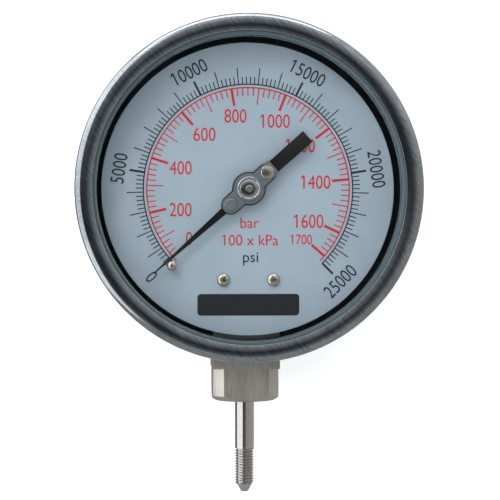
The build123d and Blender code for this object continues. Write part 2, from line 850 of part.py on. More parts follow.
def make_socket():
    flat_y = socket_half - wrench_flat_depth
    bar = block(-flat_y, flat_y, -flat_y, flat_y, 0, socket_turned_z)
    bar += block(
        -socket_half, socket_half, -socket_half, socket_half, socket_turned_z, socket_top_z
    )
    rise = (socket_turned_r - socket_face_r) * math.tan(math.radians(socket_face_angle))
    wide = socket_width * 2
    envelope = turned_upright([
        (0, 0),
        (socket_face_r, 0),
        (socket_turned_r, rise),
        (socket_turned_r, socket_turned_z),
        (wide, socket_turned_z),
        (wide, socket_top_z),
        (0, socket_top_z),
    ])
    bar = bar & envelope
    lug_y = coil_start_y
    lug = block(
        tube_lug_low, tube_lug_high,
        lug_y - tube_lug_half_depth, min(lug_y + tube_lug_half_depth, socket_half),
        socket_top_z, tube_lug_top_z,
    )
    body = bar + lug
    pocket = coil_solid(
        tube_axial + 2 * braze_gap, tube_radial + 2 * braze_gap,
        coil_lead_angle + tube_pocket_angle,
    )
    body -= pocket & block(
        0, socket_half, 0, socket_half, socket_top_z, tube_lug_top_z + cut_over,
    )
    port_x = coil_r * math.sin(math.radians(coil_lead_angle))
    corner = (port_x, lug_y, socket_cross_z)
    body -= rod((0, 0, 0), (0, 0, socket_cross_z), socket_bore_r)
    body -= rod((0, 0, socket_cross_z), corner, socket_bore_r)
    body -= rod(corner, (port_x, lug_y, centre_z - coil_r), socket_bore_r)
    body -= rod((0, 0, 0), (0, 0, stem_spigot_length), stem_spigot_r)
    for x, z in case_screw_places:
        body -= disc(x, z, case_screw_r, socket_half - case_screw_depth, socket_half)
    for side in (-1, 1):
        end_y = rear_plate_back_y + foot_screw_depth
        x = side * foot_screw_x
        body -= disc(x, foot_screw_z, foot_screw_r, rear_plate_back_y, end_y)
    return body


def make_socket_pad():
    pad = block(
        -pad_half_width, pad_half_width,
        socket_half, case_back_inner_y,
        pad_bottom_z, socket_top_z,
    )
    for x, z in case_screw_places:
        pad -= disc(x, z, case_screw_r, socket_half, case_back_inner_y)
    return pad


def make_socket_gasket():
    outer = socket_half + socket_gasket_thick
    frame = block(-outer, outer, -outer, outer, 0, pad_bottom_z + socket_gasket_thick)
    frame -= block(-socket_half, socket_half, -socket_half, socket_half, 0, centre_z)
    skirt = lathe([
        (case_inner_r - socket_gasket_lip, outer + cut_over),
        (case_r + socket_gasket_lip, outer + cut_over),
        (case_r + socket_gasket_lip, -outer - cut_over),
        (case_inner_r - socket_gasket_lip, -outer - cut_over),
    ])
    return frame & skirt


def make_case_screws():
    screws = Part()
    for x, z in case_screw_places:
        head = disc(x, z, case_screw_head_r, case_back_y, screw_back_y)
        head = fillet(ring_edges(head, case_screw_head_r, screw_back_y), case_screw_head_round)
        cross_y = screw_back_y - case_screw_cross_depth
        for wide, high in (case_screw_cross, reversed(case_screw_cross)):
            head -= slab(Rectangle(wide, high), cross_y, screw_back_y, x, z)
        end_y = socket_half - case_screw_depth
        screws += head + disc(x, z, case_screw_r, end_y, case_back_y)
    return screws


def make_inlet_stem():
    thread_top = -stem_plain_length
    thread_end = thread_top - thread_length
    core_r = stem_r - thread_depth
    cone_length = (core_r - cone_tip_r) / math.tan(math.radians(cone_half_angle))
    tip_z = thread_end - cone_length
    outline = [
        (0, stem_spigot_length),
        (stem_spigot_r, stem_spigot_length),
        (stem_spigot_r, 0),
        (stem_r, 0),
        (stem_r, thread_top),
    ]
    crest_r = stem_r - thread_crest_drop
    for turn in range(int(thread_length / thread_pitch)):
        z = thread_top - thread_pitch * turn
        outline.append((core_r, z - thread_pitch * thread_flank))
        outline.append((core_r, z - thread_pitch * (thread_flank + thread_root)))
        outline.append((crest_r, z - thread_pitch * (1 - thread_crest)))
        outline.append((crest_r, z - thread_pitch))
    outline += [(core_r, z - thread_pitch * (1 + thread_flank)), (core_r, thread_end)]
    outline += [(cone_tip_r, tip_z), (0, tip_z)]
    stem = turned_upright(outline)
    return stem - rod((0, 0, tip_z), (0, 0, stem_spigot_length), stem_bore_r)


def make_vent_plug():
    base = centre_z + case_r
    inside = centre_z + case_inner_r
    neck = rod((0, 0, inside - cut_over), (0, 0, base + cut_over), vent_plug_r)
    head = rod((0, 0, base - cut_over), (0, 0, base + vent_plug_head_rise), vent_plug_head_r)
    top = head.edges().filter_by(GeomType.CIRCLE).sort_by(Axis.Z)[-1]
    head = fillet(top, vent_plug_round)
    head -= disc(0, centre_z, case_r, -vent_plug_reach, vent_plug_reach)
    bulb = rod((0, 0, inside - vent_plug_inner_drop), (0, 0, inside + cut_over), vent_plug_inner_r)
    bulb = bulb & disc(0, centre_z, case_inner_r, -vent_plug_reach, vent_plug_reach)
    return neck + head + bulb


def make_blowout_disc():
    z = centre_z + blowout_rise
    plug = lathe([
        (0, case_back_inner_y),
        (blowout_r, case_back_inner_y),
        (blowout_r, case_back_y),
        (blowout_r + blowout_rim, case_back_y),
        (blowout_r + blowout_rim, case_back_y + blowout_rim_thick),
        (blowout_r - blowout_rim, case_back_y + blowout_rim_thick),
        (blowout_r - blowout_rim - blowout_rim_slope, case_back_y),
        (0, case_back_y),
    ], 0, z)
    return plug


makers = {
    "case": make_case,
    "bezel_ring": make_bezel_ring,
    "window_gasket": make_window_gasket,
    "window_glass": make_window_glass,
    "dial_plate": make_dial_plate,
    "dial_screws": make_dial_screws,
    "dial_posts": make_dial_posts,
    "stop_pin": make_stop_pin,
    "pointer_blade": make_pointer_blade,
    "adjust_plate": make_adjust_plate,
    "pointer_hub": make_pointer_hub,
    "adjust_screw": make_adjust_screw,
    "pointer_rivet": make_pointer_rivet,
    "centre_arbor": make_centre_arbor,
    "centre_pinion": make_centre_pinion,
    "sector_gear": make_sector_gear,
    "sector_arbor": make_sector_arbor,
    "sector_pin": make_sector_pin,
    "tip_pin": make_tip_pin,
    "link": make_link,
    "bourdon_tube": make_bourdon_tube,
    "tip_piece": make_tip_piece,
    "hairspring_collet": make_hairspring_collet,
    "hairspring": make_hairspring,
    "hairspring_stud": make_hairspring_stud,
    "movement_rear_plate": make_rear_plate,
    "movement_front_plate": make_front_plate,
    "movement_pillars": make_pillars,
    "plate_screws": make_plate_screws,
    "foot_screws": make_foot_screws,
    "socket": make_socket,
    "socket_pad": make_socket_pad,
    "socket_gasket": make_socket_gasket,
    "case_screws": make_case_screws,
    "inlet_stem": make_inlet_stem,
    "vent_plug": make_vent_plug,
    "blowout_disc": make_blowout_disc,
}

os.makedirs("parts", exist_ok=True)
for node, maker in makers.items():
    export_step(maker(), f"parts/{node}.step")
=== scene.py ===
import math

import bmesh
import bpy
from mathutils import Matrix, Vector


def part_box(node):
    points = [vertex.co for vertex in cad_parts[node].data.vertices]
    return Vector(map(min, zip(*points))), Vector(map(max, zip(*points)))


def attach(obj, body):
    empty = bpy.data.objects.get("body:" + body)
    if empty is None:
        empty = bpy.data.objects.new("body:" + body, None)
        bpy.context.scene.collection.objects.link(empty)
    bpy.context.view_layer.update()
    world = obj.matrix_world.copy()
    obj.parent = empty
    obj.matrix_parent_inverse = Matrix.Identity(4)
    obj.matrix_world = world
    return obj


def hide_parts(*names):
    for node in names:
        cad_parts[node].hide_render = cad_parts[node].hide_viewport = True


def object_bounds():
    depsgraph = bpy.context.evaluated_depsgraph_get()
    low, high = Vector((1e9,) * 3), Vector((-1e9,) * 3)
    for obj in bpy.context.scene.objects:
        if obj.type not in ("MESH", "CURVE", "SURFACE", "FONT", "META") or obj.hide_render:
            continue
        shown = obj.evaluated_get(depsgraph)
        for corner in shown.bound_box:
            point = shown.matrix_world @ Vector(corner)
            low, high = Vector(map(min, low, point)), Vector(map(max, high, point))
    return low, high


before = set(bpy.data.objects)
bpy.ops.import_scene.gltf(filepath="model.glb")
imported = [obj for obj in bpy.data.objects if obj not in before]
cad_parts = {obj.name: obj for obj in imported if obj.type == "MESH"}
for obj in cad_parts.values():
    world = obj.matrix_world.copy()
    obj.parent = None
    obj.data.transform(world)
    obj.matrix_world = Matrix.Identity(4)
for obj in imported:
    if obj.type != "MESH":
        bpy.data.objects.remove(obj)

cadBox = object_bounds()
mm = 0.001

print("frame loaded")


def sideOf(node, axis, high):
    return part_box(node)[1 if high else 0][axis]


def middleOf(node):
    low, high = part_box(node)
    return (low + high) / 2


gaugeCentre = middleOf("dial_plate")
centreX = gaugeCentre.x
centreZ = gaugeCentre.z
dialFront = sideOf("dial_plate", 1, False)
dialBack = sideOf("dial_plate", 1, True)
dialRadius = (sideOf("dial_plate", 0, True) - sideOf("dial_plate", 0, False)) / 2
bezelFront = sideOf("bezel_ring", 1, False)
bezelBack = sideOf("bezel_ring", 1, True)
glassFront = sideOf("window_glass", 1, False)
glassBack = sideOf("window_glass", 1, True)
gasketBack = sideOf("window_gasket", 1, True)
bladeFront = sideOf("pointer_blade", 1, False)
bladeBack = sideOf("pointer_blade", 1, True)
plateFront = sideOf("adjust_plate", 1, False)
plateBack = sideOf("adjust_plate", 1, True)


def deselectAll():
    if bpy.context.mode != "OBJECT":
        bpy.ops.object.mode_set(mode="OBJECT")
    bpy.ops.object.select_all(action="DESELECT")


def pickOnly(piece):
    deselectAll()
    piece.select_set(True)
    bpy.context.view_layer.objects.active = piece


def editAll(piece):
    pickOnly(piece)
    bpy.ops.object.mode_set(mode="EDIT")
    bpy.ops.mesh.select_mode(type="VERT")
    bpy.ops.mesh.select_all(action="SELECT")


def leaveEdit():
    bpy.ops.object.mode_set(mode="OBJECT")


def fixPlace(piece):  # puts the object back on the origin, its place kept in the mesh
    pickOnly(piece)
    bpy.ops.object.transform_apply(location=True, rotation=True, scale=True)


def applyModifier(piece, kind, settings):
    pickOnly(piece)
    modifier = piece.modifiers.new(kind.lower(), kind)
    for key, value in settings.items():
        setattr(modifier, key, value)
    bpy.ops.object.modifier_apply(modifier=modifier.name)


def cleanUp(piece):
    editAll(piece)
    bpy.ops.mesh.remove_doubles(threshold=0.002 * mm)
    bpy.ops.mesh.normals_make_consistent(inside=False)
    leaveEdit()


def softenEdges(piece, width, segments=2, angle=32):
    applyModifier(piece, "BEVEL", {
        "width": width, "segments": segments, "limit_method": "ANGLE",
        "angle_limit": math.radians(angle), "use_clamp_overlap": True,
    })


def smoothShade(piece, angle=34):
    pickOnly(piece)
    bpy.ops.object.shade_smooth_by_angle(angle=math.radians(angle))


def lathe(name, rings, x=centreX, z=centreZ, steps=96, ends="capped", upright=False):
    # a circle drawn out ring by ring: each ring is its radius and its place along the axis
    deselectAll()
    radius, along = rings[0]
    bpy.ops.mesh.primitive_circle_add(
        vertices=steps, radius=radius,
        location=(x, z, along) if upright else (x, along, z),
        rotation=(0, 0, 0) if upright else (math.pi / 2, 0, 0),
        fill_type="NGON" if ends == "capped" else "NOTHING",
    )
    piece = bpy.context.active_object
    piece.name = name
    fixPlace(piece)
    editAll(piece)
    for nextRadius, nextAlong in rings[1:] + (rings[:1] if ends == "joined" else []):
        step = nextAlong - along
        move = (0, 0, step) if upright else (0, step, 0)
        bpy.ops.mesh.extrude_region_move(TRANSFORM_OT_translate={"value": move})
        ratio = nextRadius / radius
        bpy.ops.transform.resize(value=(ratio, ratio, 1) if upright else (ratio, 1, ratio))
        radius, along = nextRadius, nextAlong
    leaveEdit()
    cleanUp(piece)
    return piece


def selectFaces(piece, test):  # leaves edit mode on, with the faces that pass selected
    editAll(piece)
    bpy.ops.mesh.select_mode(type="FACE")
    bpy.ops.mesh.select_all(action="DESELECT")
    mesh = bmesh.from_edit_mesh(piece.data)
    for face in mesh.faces:
        face.select = test(face)
    bmesh.update_edit_mesh(piece.data)


def dropFaces(piece, test):
    selectFaces(piece, test)
    bpy.ops.mesh.delete(type="FACE")
    leaveEdit()


def aroundCentre(place):  # degrees anticlockwise from three o'clock, seen from the front
    return math.degrees(math.atan2(place.z - centreZ, place.x - centreX))


def flatDisc(name, x, z, radius, yFront, yBack, steps=64):
    return lathe(name, [(radius, yBack), (radius, yFront)], x, z, steps)


def flatBar(name, start, end, startWidth, endWidth, yFront, yBack):
    deselectAll()
    run = Vector((end[0] - start[0], end[1] - start[1]))
    bpy.ops.mesh.primitive_cube_add(size=1, scale=(run.length, yBack - yFront, startWidth))
    piece = bpy.context.active_object
    piece.name = name
    selectFaces(piece, lambda face: face.normal.x > 0.9)
    bpy.ops.transform.resize(
        value=(1, 1, endWidth / startWidth), center_override=(run.length / 2, 0, 0))
    leaveEdit()
    piece.rotation_euler = (0, -math.atan2(run.y, run.x), 0)
    piece.location = ((start[0] + end[0]) / 2, (yFront + yBack) / 2, (start[1] + end[1]) / 2)
    fixPlace(piece)
    return piece


def joinShapes(piece, others, how="UNION"):  # adds or cuts closed shapes, which are then gone
    for other in others:
        applyModifier(piece, "BOOLEAN", {"object": other, "operation": how, "solver": "EXACT"})
        bpy.data.objects.remove(other)
    return piece


def joinMeshes(name, pieces):
    deselectAll()
    for piece in pieces:
        piece.select_set(True)
    bpy.context.view_layer.objects.active = pieces[0]
    bpy.ops.object.join()
    pieces[0].name = name
    return pieces[0]


def polar(radius, degrees, x=centreX, z=centreZ):
    turn = math.radians(degrees)
    return (x + radius * math.cos(turn), z + radius * math.sin(turn))


def hexColour(text):  # sRGB hex to the linear values that shaders take
    def linear(pair):
        value = int(pair, 16) / 255
        return value / 12.92 if value <= 0.04045 else ((value + 0.055) / 1.055) ** 2.4
    return tuple(linear(text[i:i + 2]) for i in (0, 2, 4)) + (1.0,)


def addNode(tree, kind, settings=None, values=None, links=None):
    node = tree.nodes.new(kind)
    for key, value in (settings or {}).items():
        setattr(node, key, value)
    for key, value in (values or {}).items():
        node.inputs[key].default_value = value
    for key, source in (links or {}).items():
        tree.links.new(source, node.inputs[key])
    return node


def startMaterial(name, colour, roughness, metallic=0.0, more=None):
    material = bpy.data.materials.new(name)
    material.use_nodes = True
    tree = material.node_tree
    shader = tree.nodes["Principled BSDF"]
    shader.inputs["Base Color"].default_value = hexColour(colour)
    shader.inputs["Roughness"].default_value = roughness
    shader.inputs["Metallic"].default_value = metallic
    for key, value in (more or {}).items():
        shader.inputs[key].default_value = value
    return material, tree, shader


def objectPattern(tree, size, turn=(0, 0, 0), detail=2.0):  # soft noise, its grain this many metres
    place = addNode(tree, "ShaderNodeTexCoord").outputs["Object"]
    turned = addNode(tree, "ShaderNodeMapping", None, {"Rotation": turn}, {"Vector": place})
    scale = tuple(1 / side for side in size)
    sized = addNode(tree, "ShaderNodeMapping", None, {"Scale": scale}, {"Vector": turned.outputs[0]})
    values = {"Scale": 1.0, "Detail": detail}
    return addNode(tree, "ShaderNodeTexNoise", None, values, {"Vector": sized.outputs[0]}).outputs[0]


def ramp(tree, source, stops):  # stops are pairs of place and colour
    node = addNode(tree, "ShaderNodeValToRGB", None, None, {"Fac": source})
    elements = node.color_ramp.elements
    while len(elements) < len(stops):
        elements.new(0.5)
    for element, (place, colour) in zip(elements, stops):
        element.position = place
        element.color = colour
    return node.outputs["Color"]


def grey(value):
    return (value, value, value, 1.0)


def mathNode(tree, operation, values, links):
    return addNode(tree, "ShaderNodeMath", {"operation": operation}, values, links).outputs[0]


def addBump(tree, shader, height, strength, depth):
    values = {"Strength": strength, "Distance": depth}
    bump = addNode(tree, "ShaderNodeBump", None, values, {"Height": height})
    tree.links.new(bump.outputs["Normal"], shader.inputs["Normal"])


# belt-ground or drawn stainless steel: hairlines one way, the light caught softly across them
def brushedSteel(name, darkHex, lightHex, roughness, turn, hair, streak, bump=0.35):
    material, tree, shader = startMaterial(name, lightHex, roughness, 1.0)
    hairs = objectPattern(tree, (streak, hair, hair), turn, 3.0)
    cloud = objectPattern(tree, (8 * mm, 8 * mm, 8 * mm))
    tone = mathNode(tree, "MULTIPLY_ADD", {1: 0.45}, {0: cloud, 2: hairs})
    colour = ramp(tree, tone, [(0.45, hexColour(darkHex)), (0.95, hexColour(lightHex))])
    rough = ramp(tree, tone, [(0.45, grey(roughness * 0.85)), (0.95, grey(roughness * 1.2))])
    tree.links.new(colour, shader.inputs["Base Color"])
    tree.links.new(rough, shader.inputs["Roughness"])
    addBump(tree, shader, hairs, bump, 0.003 * mm)
    return material


# turned, tumbled or plated metal: nearly even, with faint clouds where it was handled
def satinMetal(name, colour, roughness, cloudSize=0.6 * mm, bump=0.1):
    material, tree, shader = startMaterial(name, colour, roughness, 1.0)
    cloud = objectPattern(tree, (cloudSize,) * 3, detail=4.0)
    base = hexColour(colour)
    dull = tuple(part * 0.82 for part in base[:3]) + (1.0,)
    tree.links.new(ramp(tree, cloud, [(0.35, dull), (0.65, base)]), shader.inputs["Base Color"])
    rough = ramp(tree, cloud, [(0.3, grey(roughness * 0.75)), (0.75, grey(roughness * 1.4))])
    tree.links.new(rough, shader.inputs["Roughness"])
    addBump(tree, shader, cloud, bump, 0.008 * mm)
    return material


# sprayed, stoved or screen-printed coat: fine orange peel and a slight change of tone
def paintCoat(name, colour, roughness, peelSize, bump, mottle=0.06):
    material, tree, shader = startMaterial(name, colour, roughness)
    peel = objectPattern(tree, (peelSize,) * 3, detail=3.0)
    cloud = objectPattern(tree, (14 * mm,) * 3)
    base = hexColour(colour)
    darker = tuple(part * (1 - mottle) for part in base[:3]) + (1.0,)
    tree.links.new(ramp(tree, cloud, [(0.35, darker), (0.65, base)]), shader.inputs["Base Color"])
    addBump(tree, shader, peel, bump, 0.01 * mm)
    return material


# moulded nitrile rubber: dull, faintly grained, dusty in the hollows
def rubber(name, colour, roughness=0.6):
    material, tree, shader = startMaterial(name, colour, roughness)
    grain = objectPattern(tree, (0.5 * mm,) * 3, detail=4.0)
    base = hexColour(colour)
    dusty = tuple(part * 1.4 + 0.004 for part in base[:3]) + (1.0,)
    tree.links.new(ramp(tree, grain, [(0.4, base), (0.8, dusty)]), shader.inputs["Base Color"])
    addBump(tree, shader, grain, 0.25, 0.02 * mm)
    return material


# float glass: clear, with a thin uneven film that dulls its gloss here and there
def windowGlass(name):
    material, tree, shader = startMaterial(name, "232b2b", 0.03)
    shader.inputs["Alpha"].default_value = 0.05
    film = objectPattern(tree, (22 * mm,) * 3, detail=3.0)
    tree.links.new(ramp(tree, film, [(0.3, grey(0.02)), (0.8, grey(0.07))]), shader.inputs["Roughness"])
    material.surface_render_method = "BLENDED"
    return material


bezelTurn = (0, math.radians(-48), 0)  # the belt crossed the bezel face on the slant
caseTurn = (0, 0, math.pi / 2)
uprightTurn = (0, math.pi / 2, 0)
finish = {
    # real hairlines are about 0.05 mm across; they are drawn at 0.2 to 0.3 mm so that they show
    "bezel": brushedSteel("ground_stainless_bezel", "7f878e", "aeb4b9", 0.13, bezelTurn, 0.24 * mm, 4 * mm, 0.14),
    "case": brushedSteel("spun_stainless_case", "8b9095", "b6bbc0", 0.3, caseTurn, 0.3 * mm, 9 * mm),
    "socket": brushedSteel("drawn_stainless_bar", "a9a79f", "d2d0c8", 0.46, uprightTurn, 0.2 * mm, 6 * mm, 0.5),
    "stem": satinMetal("turned_stainless_stem", "c9c8c5", 0.07, 0.5 * mm),
    "plate": satinMetal("tumbled_steel_plate", "9da8ae", 0.46, 0.3 * mm),
    "bright": satinMetal("nickel_plated_brass", "d6d0c6", 0.15, 0.9 * mm),
    "hub": satinMetal("polished_nickel_hub", "c9ccce", 0.12, 0.8 * mm),
    "brass": satinMetal("machined_brass", "b8924e", 0.28),
    "movement": satinMetal("nickel_silver_plate", "b9b1a2", 0.34),
    "tube": satinMetal("annealed_alloy_tube", "8f8d88", 0.3),
    # the dial is white enamel; its blue-grey colour is painted shade and painted bluish reflection of the dim room
    "dial": paintCoat("enamelled_dial_sheet", "93a4b1", 0.4, 0.5 * mm, 0.05),
    "pointer": paintCoat("black_stoved_paint", "050506", 0.28, 0.3 * mm, 0.08),
    "blackInk": paintCoat("black_screen_ink", "101215", 0.5, 0.4 * mm, 0.1),
    "redInk": paintCoat("red_screen_ink", "b5121b", 0.5, 0.4 * mm, 0.1),
    "badge": paintCoat("charcoal_screen_ink", "161a20", 0.45, 0.4 * mm, 0.1),
    "gasket": rubber("grey_green_window_gasket", "56656a", 0.32),
    "rubber": rubber("black_nitrile_rubber", "101113"),
    "glass": windowGlass("float_glass_pane"),
}


def giveMaterial(piece, key):
    piece.data.materials.clear()
    piece.data.materials.append(finish[key])


def finishPiece(piece, body, key, recordSlot, *replaced):
    giveMaterial(piece, key)
    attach(piece, body)
    if replaced:
        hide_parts(*replaced)
    return piece


print("materials mixed")


bezel = {
    "lipRadius": 49.6 * mm,
    "outerRadius": 55.5 * mm,
    "wall": 1.2 * mm,
    "edgeRound": 2.2 * mm,
    "edgeSteps": 7,
    "lipRound": 0.3 * mm,
    "lugAngle": 20,
    "lugCount": 4,
    "lugInner": 51.6 * mm,
    "lugFront": 8.6 * mm,  # behind the bezel's front face
    "lugThick": 1.0 * mm,
}


def makeBezel(v):
    lip, outer, wall = v["lipRadius"], v["outerRadius"], v["wall"]
    rings = [(lip, bezelFront + wall), (lip, bezelFront + v["lipRound"])]
    rings.append((lip + v["lipRound"] * 0.3, bezelFront + v["lipRound"] * 0.3))
    rings.append((lip + v["lipRound"], bezelFront))
    bend = v["edgeRound"]
    for step in range(v["edgeSteps"] + 1):
        turn = math.pi / 2 * step / v["edgeSteps"]
        rings.append((outer - bend + bend * math.sin(turn), bezelFront + bend - bend * math.cos(turn)))
    rings += [
        (outer, bezelBack - wall / 3),
        (outer - wall / 3, bezelBack),
        (outer - wall * 0.75, bezelBack),
        (outer - wall, bezelBack - wall / 4),
        (outer - wall, bezelFront + wall * 1.4),
        (outer - wall * 1.4, bezelFront + wall),
    ]
    piece = lathe("bezel_ring_ground", rings, steps=256, ends="joined")
    smoothShade(piece, 40)
    lugs = []
    lugFront = bezelFront + v["lugFront"]
    for index in range(v["lugCount"]):
        middle = 45 + 360 / v["lugCount"] * index
        lug = lathe("lug", [
            (v["lugInner"], lugFront), (outer - wall / 2, lugFront),
            (outer - wall / 2, lugFront + v["lugThick"]), (v["lugInner"], lugFront + v["lugThick"]),
        ], steps=144, ends="joined")

        def outside(face):
            around = aroundCentre(face.calc_center_median())
            return abs((around - middle + 180) % 360 - 180) > v["lugAngle"] / 2
        dropFaces(lug, outside)
        editAll(lug)
        bpy.ops.mesh.select_mode(type="EDGE")
        bpy.ops.mesh.select_all(action="DESELECT")
        bpy.ops.mesh.select_non_manifold()
        bpy.ops.mesh.fill()
        bpy.ops.mesh.select_all(action="SELECT")
        bpy.ops.mesh.normals_make_consistent(inside=False)
        leaveEdit()
        lugs.append(lug)
    piece = joinMeshes("bezel_ring_ground", [piece] + lugs)
    return finishPiece(piece, "gauge_body", "bezel", "bezel_steel", "bezel_ring")


makeBezel(bezel)

gasket = {
    "innerRadius": 48.6 * mm,
    "outerRadius": 53.3 * mm,
    "grooveRadius": 51.2 * mm,
    "leg": 1.0 * mm,
    "beadCount": 3,
    "beadPitch": 0.46 * mm,
    "beadHeight": 0.28 * mm,
}


def makeGasket(v):
    front, inner = glassFront - v["leg"], v["innerRadius"]
    rings = [(v["outerRadius"], front)]
    for index in range(v["beadCount"]):  # fine sealing beads on the part of the leg that shows
        start = inner + v["beadPitch"] * (v["beadCount"] - index)
        rings += [(start, front), (start - v["beadPitch"] * 0.35, front + v["beadHeight"]),
                  (start - v["beadPitch"] * 0.65, front + v["beadHeight"])]
    rings += [
        (inner, front + 0.1 * mm), (inner, glassFront), (v["grooveRadius"], glassFront),
        (v["grooveRadius"], glassBack), (inner, glassBack),
        (inner, (glassBack + gasketBack) / 2), (inner + 0.3 * mm, gasketBack), (v["outerRadius"], gasketBack),
    ]
    piece = lathe("window_gasket_moulded", rings, steps=256, ends="joined")
    smoothShade(piece, 28)
    return finishPiece(piece, "gauge_body", "gasket", "gasket_rubber", "window_gasket")


makeGasket(gasket)

window = {"radius": 51.1 * mm, "edge": 0.35 * mm}


def makeWindow(v):
    piece = lathe("window_pane_glass", [
        (v["radius"] - v["edge"], glassBack), (v["radius"], glassBack - v["edge"]),
        (v["radius"], glassFront + v["edge"]), (v["radius"] - v["edge"], glassFront),
    ], steps=192)
    smoothShade(piece, 30)
    return finishPiece(piece, "gauge_body", "glass", "glass", "window_glass")


makeWindow(window)
print("bezel, gasket and window made")


dial = {
    "holeRadius": 3.5 * mm,
    "edge": 0.15 * mm,
    "printThick": 0.03 * mm,
    "zeroAngle": 225.0,
    "sweep": 270.0,
    "psiFull": 25000,
    "barFull": 1700,
    "psiPerBar": 14.5038,
}


def makeDial(v):
    hole, edge = v["holeRadius"], v["edge"]
    piece = lathe("dial_face_sheet", [
        (hole, dialBack), (hole, dialFront + edge), (hole + edge, dialFront),
        (dialRadius - edge, dialFront), (dialRadius, dialFront + edge), (dialRadius, dialBack),
    ], steps=256, ends="joined")
    smoothShade(piece, 30)
    return finishPiece(piece, "gauge_body", "dial", "dial_white", "dial_plate")


makeDial(dial)


def printed(name, piece, key):  # gives flat print its thickness of ink, towards the front
    piece.name = name
    selectFaces(piece, lambda face: face.normal.y > 0)
    bpy.ops.mesh.flip_normals()
    leaveEdit()
    applyModifier(piece, "SOLIDIFY", {"thickness": dial["printThick"], "offset": 1.0})
    cleanUp(piece)
    return finishPiece(piece, "gauge_body", key, "dial_white")


def dialStroke(inner, outer, width, degrees):
    deselectAll()
    x, z = polar((inner + outer) / 2, degrees)
    bpy.ops.mesh.primitive_plane_add(
        size=1, location=(x, dialFront, z), rotation=(math.pi / 2, -math.radians(degrees), 0))
    stroke = bpy.context.active_object
    stroke.scale = (outer - inner, width, 1)
    return stroke


def dialArc(radius, width):
    arc = lathe("arc", [(radius - width / 2, dialFront), (radius + width / 2, dialFront)], steps=360, ends="open")
    dropFaces(arc, lambda face: -135 < aroundCentre(face.calc_center_median()) < -45)
    return arc


scales = {
    "psi": {"arc": 33.9 * mm, "minor": 36.3 * mm, "middle": 39.2 * mm, "major": 38.8 * mm,
            "step": 200, "middleEach": 5, "majorEach": 25, "majorWidth": 0.68 * mm},
    "bar": {"arc": 32.8 * mm, "minor": 30.1 * mm, "middle": 27.4 * mm, "major": 27.3 * mm,
            "step": 20, "middleEach": 5, "majorEach": 10, "majorWidth": 0.8 * mm},
    "lineWidth": 0.34 * mm,
    "arcWidth": 0.4 * mm,
}


def scaleAngle(unit, value):
    psi = value * (dial["psiPerBar"] if unit == "bar" else 1)
    return dial["zeroAngle"] - dial["sweep"] * psi / dial["psiFull"]


def makeScale(unit, v, key):
    marks = [dialArc(v["arc"], scales["arcWidth"])]
    full = dial["psiFull"] if unit == "psi" else dial["barFull"]
    for index in range(1, full // v["step"] + 1):  # the stop pin stands where a zero mark would be
        major = index % v["majorEach"] == 0 or index * v["step"] == full
        middle = index % v["middleEach"] == 0
        reach = v["major"] if major else v["middle"] if middle else v["minor"]
        width = v["majorWidth"] if major else scales["lineWidth"]
        low, high = sorted((v["arc"], reach))
        marks.append(dialStroke(low, high, width, scaleAngle(unit, index * v["step"])))
    for mark in marks:
        fixPlace(mark)
    return printed(unit + "_scale_print", joinMeshes(unit, marks), key)


makeScale("psi", scales["psi"], "blackInk")
makeScale("bar", scales["bar"], "redInk")


figureOne = {"flagLength": 0.2, "flagWidth": 0.075, "flagSlope": 42, "flagDrop": 0.1}  # shares of the type size


def addFlag(word, v):  # the default typeface draws a bare stroke for one
    corners = [corner.co for corner in word.data.vertices]
    left = min(corner.x for corner in corners)
    top = max(corner.y for corner in corners)
    deselectAll()
    bpy.ops.mesh.primitive_plane_add(size=1)
    flag = bpy.context.active_object
    flag.scale = (v["flagLength"], v["flagWidth"], 1)
    flag.rotation_euler = (0, 0, math.radians(v["flagSlope"]))
    flag.location = (left - v["flagLength"] * 0.3, top - v["flagDrop"], 0)
    fixPlace(flag)
    return joinMeshes(word.name, [word, flag])


def dialWord(text, x, z, height, width, degrees=0.0, weight=0.0):
    deselectAll()
    bpy.ops.object.text_add()
    word = bpy.context.active_object
    word.data.body = text
    word.data.size = 1
    word.data.offset = weight
    word.data.resolution_u = 4
    bpy.ops.object.convert(target="MESH")
    word = bpy.context.active_object
    if text.startswith("1"):
        word = addFlag(word, figureOne)
    pickOnly(word)
    bpy.ops.object.origin_set(type="ORIGIN_GEOMETRY", center="BOUNDS")
    word.scale = (width / word.dimensions.x, height / word.dimensions.y, 1)
    word.rotation_euler = (math.pi / 2, -math.radians(degrees), 0)
    word.location = (x, dialFront, z)
    fixPlace(word)
    return word


figures = {
    "height": 4.4 * mm,
    "digitPitch": 2.52 * mm,
    "digitGap": 0.45 * mm,
    "psiRadius": 42.2 * mm,
    "psiEach": 5000,
    "psiZeroAngle": 222.2,
    "barPlaces": [  # x and z from the dial's centre, as the sheet is laid out
        (0, -19.2, -16.0), (200, -21.9, -6.7), (400, -21.9, 6.8), (600, -14.2, 17.6),
        (800, -4.2, 23.6), (1000, 8.6, 22.0), (1200, 16.8, 14.1), (1400, 21.8, 2.3), (1600, 19.5, -10.4),
    ],
    "barLast": (1700, 17.1, -16.3, 3.2, 7.1),
    "weight": 0.0,
}


